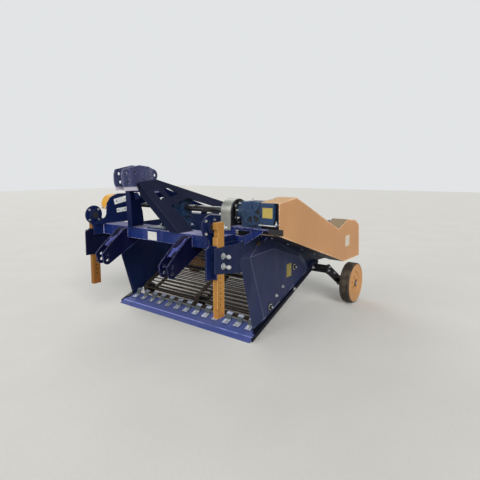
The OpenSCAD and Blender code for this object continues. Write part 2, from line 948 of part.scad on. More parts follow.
share();
share_fingers();
side_wall_left();
side_wall_right();
side_panel_left();
side_panel_right();
main_beam();
end_flange_left();
end_flange_right();
stand_bracket_left();
stand_bracket_right();
stand_left();
stand_right();
mast_left();
mast_right();
mast_tie();
top_link_ears();
link_bracket_left();
link_bracket_right();
centre_gearbox();
pto_stub();
cross_shafts();
shaft_guard_left();
bearing_plate_left();
upright_plate_right();
shaft_guard_right();
gearbox_platform();
side_gearbox();
chain_cover();
chain_case_back();
cover_standoffs();
top_cross_tube();
rear_cross_tube();
axle_tube();
wheel_arm_left();
wheel_arm_right();
wheel_left();
wheel_right();
tyre_left();
tyre_right();
web();
web_rollers();
web_drive_shaft();
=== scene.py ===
import math

import bpy
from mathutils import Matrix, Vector


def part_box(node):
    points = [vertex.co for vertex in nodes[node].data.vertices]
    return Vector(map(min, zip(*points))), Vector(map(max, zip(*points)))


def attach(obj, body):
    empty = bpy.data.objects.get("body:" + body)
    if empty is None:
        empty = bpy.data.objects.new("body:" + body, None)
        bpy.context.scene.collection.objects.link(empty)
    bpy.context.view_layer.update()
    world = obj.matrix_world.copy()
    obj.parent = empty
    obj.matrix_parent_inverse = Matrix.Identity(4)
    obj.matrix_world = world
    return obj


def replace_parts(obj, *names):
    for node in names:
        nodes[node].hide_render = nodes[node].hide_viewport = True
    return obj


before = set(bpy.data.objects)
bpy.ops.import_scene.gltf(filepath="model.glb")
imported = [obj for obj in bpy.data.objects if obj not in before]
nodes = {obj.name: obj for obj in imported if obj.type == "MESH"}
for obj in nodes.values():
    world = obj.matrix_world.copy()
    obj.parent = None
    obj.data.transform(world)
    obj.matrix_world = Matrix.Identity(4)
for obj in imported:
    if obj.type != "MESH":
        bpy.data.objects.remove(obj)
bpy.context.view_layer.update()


# Studio
# The machine stands on a plain pale floor of smooth concrete in wide soft light, seen from its
# front left, 1.4 m above the floor.
eye = Vector((3.083, 2.610, 1.390))
heading = math.radians(216.41)
look_down = math.radians(5.90)

bpy.ops.object.select_all(action="DESELECT")
bpy.ops.object.camera_add(location=eye, rotation=(math.pi / 2 - look_down, 0, heading - math.pi / 2))
camera = bpy.context.object
camera.data.sensor_width = 36
camera.data.lens = 29.17
camera.data.shift_y = -0.0552
camera.data.clip_start = 0.05
bpy.context.scene.camera = camera
bpy.context.scene.view_settings.view_transform = "Standard"


class Signal:
    """A number, colour or vector that changes over a surface: the output socket of a node."""

    def __init__(self, finish, socket):
        self.finish = finish
        self.socket = socket

    def math(self, operation, *values):
        return self.finish.node("ShaderNodeMath", {"operation": operation}, dict(enumerate(values)))

    def __add__(self, other):
        return self.math("ADD", self, other)

    def __sub__(self, other):
        return self.math("SUBTRACT", self, other)

    def __rsub__(self, other):
        return self.math("SUBTRACT", other, self)

    def __mul__(self, other):
        return self.math("MULTIPLY", self, other)

    __radd__ = __add__
    __rmul__ = __mul__


class Finish:
    """A material with one Principled shader, and the nodes that vary it over the surface."""

    def __init__(self, name, settings):
        self.material = bpy.data.materials.new(name)
        self.material.use_nodes = True
        self.tree = self.material.node_tree
        self.shader = self.tree.nodes["Principled BSDF"]
        self.feed(self.shader, settings)

    def feed(self, target, values):
        for key, value in values.items():
            if isinstance(value, Signal):
                self.tree.links.new(value.socket, target.inputs[key])
            else:
                target.inputs[key].default_value = value

    def node(self, kind, settings, values, output=0):
        made = self.tree.nodes.new(kind)
        for key, value in settings.items():
            setattr(made, key, value)
        self.feed(made, values)
        return Signal(self, made.outputs[output])

    def place(self, stretch=(1, 1, 1)):
        spot = self.node("ShaderNodeTexCoord", {}, {}, "Object")
        return self.node("ShaderNodeMapping", {}, {"Vector": spot, "Scale": stretch})

    def noise(self, scale, detail=3.0, stretch=(1, 1, 1)):
        return self.node("ShaderNodeTexNoise", {}, {
            "Vector": self.place(stretch), "Scale": scale, "Detail": detail})

    def step(self, value, low, high):
        """0 below low, 1 above high and a smooth rise between them."""
        return self.node("ShaderNodeMapRange", {"interpolation_type": "SMOOTHSTEP"},
                         {"Value": value, "From Min": low, "From Max": high})

    def mix(self, first, second, amount):
        return self.node("ShaderNodeMix", {"data_type": "RGBA"}, {"Factor": amount, 6: first, 7: second}, 2)

    def facing_up(self):
        normal = self.node("ShaderNodeNewGeometry", {}, {}, "Normal")
        return self.node("ShaderNodeSeparateXYZ", {}, {"Vector": normal}, "Z")

    def spot(self, axis):
        """How far along X, Y or Z a point lies, in metres."""
        return self.node("ShaderNodeSeparateXYZ", {}, {"Vector": self.place()}, axis)

    def edge(self, radius, low=0.02, high=0.25):
        """Near 1 along sharp edges, within radius of them, and 0 on flat stretches."""
        soft = self.node("ShaderNodeBevel", {"samples": 4}, {"Radius": radius})
        flat = self.node("ShaderNodeNewGeometry", {}, {}, "Normal")
        same = self.node("ShaderNodeVectorMath", {"operation": "DOT_PRODUCT"}, {0: soft, 1: flat}, "Value")
        return self.step(1 - same, low, high)

    def corner_shade(self, reach):
        """Near 1 in corners and gaps and 0 in the open, from ambient occlusion: the mask for painted shade
        in corners.
        """
        open_sky = self.node("ShaderNodeAmbientOcclusion", {"samples": 4}, {"Distance": reach}, "AO")
        return self.step(1 - open_sky, 0.35, 0.85)

    def bump(self, height, depth):
        relief = self.node("ShaderNodeBump", {}, {"Height": height, "Distance": depth})
        self.feed(self.shader, {"Normal": relief})


def linear(red, green, blue):
    """A colour given as it looks on a screen, from 0 to 255, in the values that a shader takes."""
    parts = [part / 255 for part in (red, green, blue)]
    return (*[part / 12.92 if part <= 0.04045 else ((part + 0.055) / 1.055) ** 2.4 for part in parts], 1.0)


floor_finish = Finish("pale concrete floor", {"Roughness": 0.85})
floor_tone = floor_finish.noise(1.6, 5.0) * 0.6 + floor_finish.noise(55.0, 4.0) * 0.4
floor_finish.feed(floor_finish.shader, {
    "Base Color": floor_finish.mix(linear(196, 194, 188), linear(214, 212, 206), floor_tone)})
floor_finish.bump(floor_finish.noise(140.0), 0.0008)

bpy.ops.object.select_all(action="DESELECT")
bpy.ops.mesh.primitive_plane_add(size=60, location=(0, 0, 0))
floor = bpy.context.object
floor.name = "floor"
floor.data.materials.append(floor_finish.material)

world = bpy.data.worlds.new("soft sky")
world.use_nodes = True
bpy.context.scene.world = world
sky = world.node_tree
ambient = sky.nodes["Background"]
ambient.inputs["Color"].default_value = (0.93, 0.96, 1.0, 1.0)
ambient.inputs["Strength"].default_value = 0.40
backdrop = sky.nodes.new("ShaderNodeBackground")
backdrop.inputs["Color"].default_value = linear(226, 228, 230)
backdrop.inputs["Strength"].default_value = 1.0
rays = sky.nodes.new("ShaderNodeLightPath")
seen = rays.outputs["Is Camera Ray"]
for kind in ("Is Glossy Ray", "Is Transmission Ray"):
    either = sky.nodes.new("ShaderNodeMath")
    either.operation = "MAXIMUM"
    sky.links.new(seen, either.inputs[0])
    sky.links.new(rays.outputs[kind], either.inputs[1])
    seen = either.outputs[0]
chooser = sky.nodes.new("ShaderNodeMixShader")
sky.links.new(seen, chooser.inputs["Fac"])
sky.links.new(ambient.outputs["Background"], chooser.inputs[1])
sky.links.new(backdrop.outputs["Background"], chooser.inputs[2])
sky.links.new(chooser.outputs["Shader"], sky.nodes["World Output"].inputs["Surface"])


def lamp(name, place, strength, spread):
    """A wide soft source far off, in the direction of place; spread is in degrees."""
    bpy.ops.object.select_all(action="DESELECT")
    turn = (-Vector(place)).to_track_quat("-Z", "Y").to_euler()
    bpy.ops.object.light_add(type="SUN", location=place, rotation=turn)
    light = bpy.context.object
    light.name = name
    light.data.energy = strength
    light.data.angle = math.radians(spread)


lamp("key lamp", (3.4, 4.6, 3.2), 2.6, 35)
lamp("fill lamp", (5.2, -2.4, 2.4), 1.1, 45)
lamp("back lamp", (-2.6, -5.0, 3.4), 0.8, 40)


# Share
# A broad blade of wear steel, bevelled at its edge and painted blue, bolted to the feet of the side
# walls. Soil has polished the bevel and left dust on the flat behind it.
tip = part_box("share")[1].x
rise = math.radians(19.6)


def at(x, y, z):
    """A point given from the share's tip, in metres."""
    return Vector((tip + x, y, z))


def on_slope(s, y, n):
    """A point s up the share's slope and n above it."""
    return at(-s * math.cos(rise) + n * math.sin(rise), y, s * math.sin(rise) + n * math.cos(rise))


def coat(finish, *names):
    """Gives CAD nodes their finish."""
    for name in names:
        for place in nodes[name].material_slots:
            place.material = finish.material


def shade(colour, amount):
    """A colour made lighter or darker."""
    return (*[min(1.0, part * amount) for part in colour[:3]], 1.0)


def paint(name, colour, dust_and_sheen_amount=0.3, wear_and_highlight_amount=0.5, gloss=0.34, streak=0.2, fold=0.0, uneven=0.2, haze=0.2,
          line=0.0045, shine=0.12, dust_and_sheen_colour=linear(126, 114, 98), wear_and_highlight_colour=linear(130, 136, 150)):
    """Sprayed paint on steel: uneven tone, fine orange peel, a top colour on what faces up, bright edges
    and painted shade in corners. The top colour stands for dirt lying there and, where it is pale, for a
    painted sheen; the bright edges are partly worn paint and partly a painted highlight, and reach line, in
    metres, in from an edge. haze is the part of the top colour that clings in streaks to every face. With
    fold, the rounded bends of a panel get a painted highlight, a lighter line."""
    made = Finish(name, {"Specular IOR Level": shine})
    cloud = made.noise(2.4, 5.0)
    runs = made.noise(3.0, 4.0, (4, 4, 0.5))
    speck = made.noise(70.0, 5.0)
    blend = made.step(cloud * (1.0 - streak) + runs * streak, 0.3, 0.7)
    tone = made.mix(shade(colour, 1 - uneven), shade(colour, 1 + uneven), blend)
    patches = made.step(cloud * 0.75 + speck * 0.25, 0.28, 0.62)
    # What faces up takes the top colour: dust, and a painted sheen where that colour is pale.
    settled_dust_and_sheen = made.step(made.facing_up(), 0.2, 0.95) * patches * dust_and_sheen_amount
    film = made.step(runs * 0.6 + speck * 0.4, 0.46, 0.7) * (dust_and_sheen_amount * haze)
    # Bright edges: worn paint and a painted highlight.
    worn_and_highlit_edges = made.edge(line) * made.step(speck * 0.5 + cloud * 0.5, 0.4, 0.58) * wear_and_highlight_amount
    if fold:
        # Painted highlight along the shallow bends of a panel.
        fold_highlight = made.edge(0.011, 0.0008, 0.004) * (1 - made.edge(0.026, 0.02, 0.06))
        tone = made.mix(tone, linear(108, 114, 140), fold_highlight * fold)
    dusted_and_sheened = made.mix(made.mix(tone, dust_and_sheen_colour, film), dust_and_sheen_colour, settled_dust_and_sheen)
    # Painted shade in corners and gaps, from ambient occlusion.
    corner_shaded = made.mix(dusted_and_sheened, linear(16, 15, 16), made.corner_shade(0.03) * 0.6)
    made.tone = made.mix(corner_shaded, wear_and_highlight_colour, worn_and_highlit_edges)
    made.feed(made.shader, {
        "Base Color": made.tone,
        "Roughness": gloss + settled_dust_and_sheen * 0.5 + film * 0.6 + cloud * 0.12})
    made.bump(made.noise(240.0) * 0.25 + made.noise(9.0, 2.0), 0.0009)
    return made


share_paint = paint("share paint", linear(46, 62, 124), dust_and_sheen_amount=0.3, wear_and_highlight_amount=0.9, gloss=0.36, uneven=0.14,
                    dust_and_sheen_colour=linear(112, 112, 132))
up_slope = (tip - share_paint.spot("X")) * math.cos(rise) + share_paint.spot("Z") * math.sin(rise)
ridge_low, ridge_high, ridge_fade = 0.047, 0.064, 0.006
ridge = share_paint.step(up_slope, ridge_low, ridge_low + ridge_fade) * (
    1 - share_paint.step(up_slope, ridge_high - ridge_fade, ridge_high))
scoured = share_paint.step(share_paint.noise(5.0, 5.0), 0.28, 0.5)
share_paint.feed(share_paint.shader, {
    "Base Color": share_paint.mix(share_paint.tone, linear(128, 134, 200), ridge * scoured)})
coat(share_paint, "share")


# Fingers behind the share
# Thirteen strips of zinc plated steel, each folded up from a foot that one hexagon bolt holds on the
# share's rear edge. They carry the soil over to the web.
def zinc_finish(name, bright, dull, gloss=0.36, patch=14.0, metallic=0.85):
    """Zinc plating or galvanising: faint spangle and grey clouds."""
    made = Finish(name, {"Metallic": metallic})
    grain = made.node("ShaderNodeTexVoronoi", {}, {"Vector": made.place(), "Scale": 90.0}, "Color")
    crystal = made.node("ShaderNodeSeparateColor", {}, {"Color": grain}, 0)
    cloud = made.noise(patch, 4.0)
    tone = made.step(cloud * 0.85 + crystal * 0.15, 0.25, 0.8)
    made.tone = made.mix(dull, bright, tone)
    made.feed(made.shader, {
        "Base Color": made.tone,
        "Roughness": gloss + made.noise(45.0, 4.0) * 0.22})
    made.bump(cloud + made.noise(180.0) * 0.3, 0.0002)
    return made


zinc = zinc_finish("zinc plating", linear(222, 224, 224), linear(150, 154, 154))
finger_zinc = zinc_finish("finger plating", linear(196, 200, 218), linear(138, 146, 164), 0.42)
# Painted sky reflection: faces that look up are painted bright and pale blue, the others dark grey.
finger_sky_reflection = finger_zinc.step(finger_zinc.facing_up(), 0.55, 0.93)
finger_zinc.feed(finger_zinc.shader, {
    "Base Color": finger_zinc.mix(linear(66, 72, 76), finger_zinc.tone, finger_sky_reflection)})
coat(finger_zinc, "share_fingers")


def begin():
    """Nothing is selected before the next piece is made."""
    bpy.ops.object.select_all(action="DESELECT")


def choose(*chosen):
    """Selects these objects, the first one active."""
    begin()
    for piece in chosen:
        piece.select_set(True)
    bpy.context.view_layer.objects.active = chosen[0]


def modify(piece, kind, **settings):
    """Adds a modifier and applies it."""
    choose(piece)
    change = piece.modifiers.new(kind.lower(), kind)
    for key, value in settings.items():
        setattr(change, key, value)
    bpy.ops.object.modifier_apply(modifier=change.name)


def joined(name, pieces):
    """Pieces made one mesh, with its place in the mesh."""
    choose(*pieces)
    if len(pieces) > 1:
        bpy.ops.object.join()
    whole = bpy.context.object
    whole.name = name
    bpy.ops.object.transform_apply(location=True, rotation=True, scale=True)
    return whole


def finish(piece, made, body, slot):
    """Gives a modelled piece its material and the body it moves with; slot is not used."""
    piece.data.materials.clear()
    piece.data.materials.append(made.material)
    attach(piece, body)
    return piece


def chamfer(piece, width):
    """Breaks the sharp edges of a piece."""
    modify(piece, "BEVEL", width=width, segments=2, limit_method="ANGLE", angle_limit=math.radians(40))


def facing(direction):
    """The turn that points a piece's Z along direction."""
    return Vector(direction).to_track_quat("Z", "Y").to_euler()


def drum(radius, depth, where, direction, sides=24, bevel=0.0):
    """Round or many sided bar of depth, from where along direction."""
    begin()
    way = Vector(direction).normalized()
    middle = Vector(where) + way * depth / 2
    bpy.ops.mesh.primitive_cylinder_add(
        vertices=sides, radius=radius, depth=depth, location=middle, rotation=facing(way))
    piece = bpy.context.object
    if bevel:
        chamfer(piece, bevel)
    return piece


def slab(size, middle, turn=(0, 0, 0), bevel=0.0015):
    """Flat plate or block with its edges broken."""
    begin()
    bpy.ops.mesh.primitive_cube_add(size=1, location=middle, rotation=turn)
    piece = bpy.context.object
    piece.scale = size
    bpy.ops.object.transform_apply(location=False, rotation=False, scale=True)
    chamfer(piece, bevel)
    return piece


def hexagon(across, depth, where, direction):
    """Hexagon head or nut, measured across its flats."""
    return drum(across / 2 / math.cos(math.pi / 6), depth, where, direction, 6, across * 0.07)


def bolts(name, places, across=0.019, head=0.009, made=zinc, slot="zinc", stud=0.0):
    """Hexagon bolts on washers, fixed to the frame. Each place is the point that its washer lies on and
    the way it points; stud is how far the thread stands out of the nut."""
    washer = 0.0025
    pieces = []
    for where, direction in places:
        way = Vector(direction).normalized()
        pieces.append(drum(across * 0.8, washer, where, way, 20, 0.0006))
        pieces.append(hexagon(across, head, Vector(where) + way * washer, way))
        if stud:
            pieces.append(drum(across * 0.3, stud, Vector(where) + way * (washer + head), way, 12, 0.001))
    finish(joined(name, pieces), made, "frame", slot)


finger_low, finger_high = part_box("share_fingers")
finger_count = 13
finger_w = 0.062
finger_step = (finger_high.y - finger_low.y - finger_w) / (finger_count - 1)
finger_bolt_s = 0.152
finger_foot_top = 0.0182
share_up = (math.sin(rise), 0, math.cos(rise))
bolts("finger_bolts", [
    (on_slope(finger_bolt_s, finger_low.y + finger_w / 2 + i * finger_step, finger_foot_top), share_up)
    for i in range(finger_count)])


# Side walls, outer panels and rails
# Steel sheet of 8 mm with a pressed panel stitch welded on the outside and a folded rail along the
# lower edge, sprayed blue. Bolts through the panel hold the web's runners inside.
# The wall's blue is set darker than the panel's, partly as painted shade.
wall_paint = paint("wall paint", linear(17, 29, 62), dust_and_sheen_amount=0.10, wear_and_highlight_amount=0.4, haze=0.4)
# fold paints a highlight along the panel's bends.
panel_paint = paint("panel paint", linear(37, 44, 72), dust_and_sheen_amount=0.12, wear_and_highlight_amount=0.05, fold=0.8, haze=0.5)
rail_slope, rail_height = 0.33, 0.032
over_rail = panel_paint.spot("Z") + (panel_paint.spot("X") - tip) * rail_slope - rail_height
scuffs = panel_paint.step(panel_paint.noise(7.0, 3.0), 0.46, 0.58)
rail_top = panel_paint.step(over_rail, 0.020, 0.025) * (1 - panel_paint.step(over_rail, 0.030, 0.036))
scraped = rail_top * scuffs
in_shade = 1 - panel_paint.step(over_rail, 0.014, 0.024)
railed = panel_paint.mix(panel_paint.tone, linear(13, 16, 28), in_shade)
panel_paint.feed(panel_paint.shader, {
    "Base Color": panel_paint.mix(railed, linear(112, 118, 142), scraped * 0.7)})
coat(wall_paint, "side_wall_left", "side_wall_right")
coat(panel_paint, "side_panel_left", "side_panel_right")

both_sides = ((1, "left"), (-1, "right"))
wall_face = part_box("side_wall_left")[1].y
panel_face = wall_face + 0.024
rail_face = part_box("side_panel_left")[1].y
panel_bolts = [(-0.431, 0.292), (-0.543, 0.350)]
rail_bolts = [(-0.740, 0.281), (-1.135, 0.415)]
runner_spots = [(-0.325, 0.217), (-0.754, 0.494)]
seal_black = Finish("black seal", {"Specular IOR Level": 0.3})
seal_tone = seal_black.noise(40.0, 4.0)
seal_black.feed(seal_black.shader, {
    "Base Color": seal_black.mix(linear(14, 14, 16), linear(44, 42, 42), seal_tone),
    "Roughness": 0.5 + seal_tone * 0.2})
seal_t, washer_t, nut_t, thread_t = 0.004, 0.003, 0.014, 0.010
for side, name in both_sides:
    out = (0, side, 0)
    dark, bright = [], []
    for x, z in runner_spots:
        washer_y = panel_face + seal_t
        nut_y = washer_y + washer_t
        dark.append(drum(0.037, seal_t, at(x, side * panel_face, z), out, 32, 0.0012))
        bright.append(drum(0.028, washer_t, at(x, side * washer_y, z), out, 32, 0.0008))
        dark.append(hexagon(0.036, nut_t, at(x, side * nut_y, z), out))
        bright.append(drum(0.010, thread_t, at(x, side * (nut_y + nut_t), z), out, 16, 0.0015))
    finish(joined("runner_nuts_" + name, dark), seal_black, "frame", "black_paint")
    finish(joined("runner_washers_" + name, bright), zinc, "frame", "zinc")
    bolts("panel_bolts_" + name, [(at(x, side * panel_face, z), out) for x, z in panel_bolts],
          0.020, 0.010, stud=0.006)
    bolts("rail_bolts_" + name, [(at(x, side * rail_face, z), out) for x, z in rail_bolts],
          0.022, 0.012, stud=0.008)


def weld(name, runs, made):
    """Rippled weld beads of 10 mm under the paint, each run from one point to another."""
    bead = 0.005
    pitch = bead * 0.9
    pieces = []
    for start, end in runs:
        way = Vector(end) - Vector(start)
        begin()
        bpy.ops.mesh.primitive_uv_sphere_add(
            segments=8, ring_count=5, radius=bead, location=start, rotation=facing(way))
        ripple = bpy.context.object
        ripple.scale = (1, 1, 0.6)
        bpy.ops.object.transform_apply(location=False, rotation=False, scale=True)
        modify(ripple, "ARRAY", count=max(2, int(way.length / pitch)), use_relative_offset=False,
               use_constant_offset=True, constant_offset_displace=(0, 0, pitch))
        pieces.append(ripple)
    finish(joined(name, pieces), made, "frame", "blue_paint")


def stitches(start, end, count):
    """Short welds of 40 mm spaced evenly along a line."""
    whole = Vector(end) - Vector(start)
    half = whole.normalized() * 0.04 / 2
    middles = [Vector(start) + whole * (i + 0.5) / count for i in range(count)]
    return [(middle - half, middle + half) for middle in middles]


panel_outline = [(0.094, 0.717), (-0.215, 0.812), (-0.420, 0.800), (-0.930, 0.600), (-1.108, 0.417)]
stitch_pitch = 0.13
for side, name in both_sides:
    corners = [at(x, side * (wall_face + 0.001), z) for x, z in panel_outline]
    runs = []
    for start, end in zip(corners, corners[1:]):
        runs += stitches(start, end, max(1, round((end - start).length / stitch_pitch)))
    weld("panel_welds_" + name, runs, panel_paint)


def label(name, width, height, middle, turn, colour, border):
    """Blank plate with a raised border, stuck flat on a face: width across it and height up it."""
    begin()
    bpy.ops.mesh.primitive_plane_add(size=1, location=middle, rotation=turn)
    piece = bpy.context.object
    piece.scale = (width, height, 1)
    bpy.ops.object.transform_apply(location=False, rotation=False, scale=True)
    bpy.ops.object.mode_set(mode="EDIT")
    bpy.ops.mesh.select_all(action="SELECT")
    bpy.ops.mesh.inset(thickness=0.006)
    bpy.ops.mesh.inset(thickness=0.0008, depth=-0.0005)
    bpy.ops.object.mode_set(mode="OBJECT")
    modify(piece, "SOLIDIFY", thickness=0.0012, offset=-1)
    made = Finish(name + " print", {"Metallic": 0.0})
    worn = made.step(made.noise(38.0, 5.0), 0.4, 0.75)
    made.feed(made.shader, {
        "Base Color": made.mix(colour, border, worn * 0.35), "Roughness": 0.42 + worn * 0.25})
    made.bump(made.noise(120.0), 0.0002)
    finish(joined(name, [piece]), made, "frame", "zinc")


facing_left = (math.pi / 2, 0, math.pi)
label("side_plate", 0.088, 0.125, at(-0.66, panel_face + 0.001, 0.481), facing_left,
      linear(132, 118, 56), linear(84, 74, 44))


# Front box beam and its round end plates
# A closed box of bent sheet, 205 by 100 mm, between two flame-cut plates whose round heads end in a
# bolted cap with a black seal. All is welded and sprayed blue.
# The beam's pale lavender top and edge colours are a painted sky sheen on its top and a painted highlight
# along its edges, over dust and wear.
beam_paint = paint("beam paint", linear(17, 36, 92), dust_and_sheen_amount=0.9, wear_and_highlight_amount=1.0, haze=0.1, line=0.008,
                   dust_and_sheen_colour=linear(170, 168, 200), wear_and_highlight_colour=linear(184, 182, 220))
flange_paint = paint("flange paint", linear(12, 26, 66), dust_and_sheen_amount=0.12, wear_and_highlight_amount=0.6)
coat(beam_paint, "main_beam", "gearbox_platform", "mast_tie")
coat(flange_paint, "end_flange_left", "end_flange_right", "upright_plate_right")
beam_rear, beam_front = 0.045, 0.250
beam_low, beam_top = 0.800, 0.900
facing_front = (math.pi / 2, 0, math.pi / 2)
label("beam_plate", 0.115, 0.074, at(beam_front + 0.0012, -0.018, 0.843), facing_front,
      linear(200, 198, 194), linear(140, 130, 122))

head_x, head_z = 0.352, 0.995
bolt_ring = 0.068 * math.sin(math.pi / 4)
ring_places = [(head_x + i * bolt_ring, head_z + k * bolt_ring) for i in (-1, 1) for k in (-1, 1)]
cap_low, cap_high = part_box("end_flange_left")
flange_in, flange_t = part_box("main_beam")[1].y, 0.012
flange_out = flange_in + flange_t
bead_out = 0.0015
front_bead = beam_front + bead_out
for side, name in both_sides:
    bolts("cap_bolts_out_" + name, [(at(x, side * flange_out, z), (0, side, 0)) for x, z in ring_places],
          0.0145, 0.009)
    bolts("cap_bolts_in_" + name, [(at(x, side * flange_in, z), (0, -side, 0)) for x, z in ring_places],
          0.0145, 0.009)
    seals = [drum(0.031, 0.002, at(head_x, side * y, head_z), (0, way * side, 0), 32, 0.0008)
             for y, way in ((cap_high.y, 1), (cap_low.y, -1))]
    finish(joined("cap_seals_" + name, seals), seal_black, "frame", "black_paint")
    end = side * (flange_in - bead_out)
    runs = [(at(front_bead, end, beam_low + 0.003), at(front_bead, end, beam_top - 0.003))]
    for z in (beam_top + 0.001, beam_low - 0.001):
        runs.append((at(beam_rear + 0.007, end, z), at(beam_front - 0.004, end, z)))
    weld("beam_welds_" + name, runs, beam_paint)


# Stand brackets
# Each stand slides between an inner plate, two guide bars and the wall's clamp plate. Two long bolts
# with a nut on the clamp plate and a head further out press it against the inner plate.
# The right bracket's near-black blue is painted shade, a darker copy of the left bracket's paint.
right_bracket_shade_paint = paint("right bracket shade paint", linear(9, 14, 40), dust_and_sheen_amount=0.1, wear_and_highlight_amount=0.5)
coat(flange_paint, "stand_bracket_left")
coat(right_bracket_shade_paint, "stand_bracket_right")
clamp_x, clamp_heights = 0.300, (0.777, 0.700)
clamp_r, clamp_across, clamp_washer = 0.0095, 0.030, 0.003
nut_y = wall_face + clamp_washer
head_y, head_t = nut_y + 0.043, 0.017
for side, name in both_sides:
    out = (0, side, 0)
    pieces = []
    for z in clamp_heights:
        pieces.append(drum(0.024, clamp_washer, at(clamp_x, side * wall_face, z), out, 24, 0.0008))
        pieces.append(hexagon(clamp_across, 0.015, at(clamp_x, side * nut_y, z), out))
        pieces.append(drum(clamp_r, 0.060, at(clamp_x, side * nut_y, z), out, 16))
        pieces.append(hexagon(clamp_across, head_t, at(clamp_x, side * head_y, z), out))
        pieces.append(drum(clamp_r, 0.008, at(clamp_x, side * (head_y + head_t), z), out, 16, 0.0015))
    finish(joined("clamp_bolts_" + name, pieces), zinc, "frame", "zinc")


# Parking stands
# Flat bars of 80 by 42 mm with six holes at their foot and a notch near the top, painted yellow.
# The lower end is rubbed, rusty and stained.
def stand_finish(name, colour, worn):
    """Brushed yellow paint, stained with rust towards the foot; its bright edges, in the worn colour, are
    partly worn paint and partly a painted highlight.
    """
    made = paint(name, colour, dust_and_sheen_amount=0.3, wear_and_highlight_amount=1.2, gloss=0.42, streak=0.6, haze=0.5, line=0.009,
                 dust_and_sheen_colour=linear(122, 78, 38), wear_and_highlight_colour=worn)
    low = 1 - made.step(made.spot("Z"), 0.22, 0.50)
    stain = low * made.step(made.noise(26.0, 5.0), 0.36, 0.6)
    made.feed(made.shader, {"Base Color": made.mix(made.tone, linear(120, 62, 30), stain * 0.8)})
    return made


coat(stand_finish("left stand paint", linear(158, 112, 56), linear(222, 178, 108)), "stand_left")
# The right stand's darker yellow is painted shade: the same paint as the left stand, darker.
coat(stand_finish("right stand shade paint", linear(132, 88, 40), linear(176, 124, 62)), "stand_right")


# Hitch mast
# Two leaning plates of 12 mm with a folded front flange, window cut-outs and long rear stays, welded
# to the beam and joined by a cross plate that carries the two ears for the top link.
# The two masts carry copies of one blue: the left one darkened as painted shade, the right one bluer, with
# pale top and edge colours that are partly a painted sheen and highlight.
left_mast_shade_paint = paint("mast paint", linear(14, 21, 44), dust_and_sheen_amount=0.06, wear_and_highlight_amount=0.25, gloss=0.4, line=0.005,
                   shine=0.07)
right_mast_paint = paint("right mast paint", linear(12, 26, 68), dust_and_sheen_amount=0.12, wear_and_highlight_amount=0.3, gloss=0.4, haze=0.1,
                         line=0.004, shine=0.07, dust_and_sheen_colour=linear(72, 80, 128), wear_and_highlight_colour=linear(110, 116, 168))
ear_paint = paint("ear paint", linear(58, 62, 94), dust_and_sheen_amount=0.9, wear_and_highlight_amount=0.9, streak=0.5, haze=0.7, uneven=0.3,
                  dust_and_sheen_colour=linear(138, 134, 150), wear_and_highlight_colour=linear(150, 150, 170))
# Painted highlight: a pale band along the foot of the ears. Their pale top colour is partly dust, partly a
# painted sheen.
ear_foot_highlight = 1 - ear_paint.step(ear_paint.spot("Z"), 1.272, 1.288)
ear_paint.feed(ear_paint.shader, {
    "Base Color": ear_paint.mix(ear_paint.tone, linear(186, 180, 190), ear_foot_highlight * 0.85)})
coat(left_mast_shade_paint, "mast_left")
coat(right_mast_paint, "mast_right")
coat(ear_paint, "top_link_ears")
# Welds of each plate's foot outside and inside, its stay, the cross plate and the ears: rear end,
# front end, distance from the machine's middle, height
foot_bead_z = beam_top + 0.002
mast_beads = [
    (0.102, 0.252, 0.3325, foot_bead_z), (0.102, 0.252, 0.3135, foot_bead_z),
    (-0.786, -0.704, 0.3085, 0.942), (0.274, 0.396, 0.117, 1.247), (0.274, 0.396, 0.0555, 1.248)]
weld("mast_welds", [
    (at(rear, side * y, z), at(front, side * y, z))
    for side in (1, -1) for rear, front, y, z in mast_beads], left_mast_shade_paint)


# Lower link brackets
# Two plates of 14 mm each side, 76 mm apart, with two pin holes at the nose and a folded strip welded
# between them. They are welded to the beam's front and wrap round its lower edge.
# The link brackets' near-black blue is painted shade, and their pale blue edges partly a painted highlight.
link_shade_paint = paint("link shade paint", linear(8, 11, 42), dust_and_sheen_amount=0.08, wear_and_highlight_amount=1.4, line=0.006,
                   wear_and_highlight_colour=linear(128, 132, 200))
coat(link_shade_paint, "link_bracket_left", "link_bracket_right")
link_low, link_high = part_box("link_bracket_left")
link_t = 0.014
link_beads = (link_low.y - bead_out, link_low.y + link_t + bead_out,
              link_high.y - link_t - bead_out, link_high.y + bead_out)
for side, name in both_sides:
    weld("link_welds_" + name, [
        (at(front_bead, side * y, beam_low + 0.006), at(front_bead, side * y, beam_top - 0.012))
        for y in link_beads], link_shade_paint)


def tilt(along):
    """The turn that lays a piece's length along a direction seen from the side."""
    return (0, -math.atan2(along.z, along.x), 0)


strip_paint = paint("strip paint", linear(56, 64, 132), dust_and_sheen_amount=0.3, wear_and_highlight_amount=0.8, dust_and_sheen_colour=linear(130, 130, 176))
strip_folds = [(0.288, 0.866), (0.330, 0.826), (0.386, 0.802), (0.396, 0.780), (0.442, 0.744)]
strip_legs = [(0.018, 0.026), (0.015, 0.030), (0.003, 0.066), (-0.015, 0.032)]  # sideways shift, width
strip_t = 0.002
link_middle = (link_low.y + link_high.y) / 2
for side, name in both_sides:
    legs = []
    for (x0, z0), (x1, z1), (shift, width) in zip(strip_folds, strip_folds[1:], strip_legs):
        leg = Vector((x1 - x0, 0, z1 - z0))
        middle = at((x0 + x1) / 2, side * link_middle + shift, (z0 + z1) / 2)
        legs.append(slab((leg.length + strip_t, width, strip_t), middle, tilt(leg), 0.0005))
    finish(joined("link_strip_" + name, legs), strip_paint, "frame", "blue_paint")


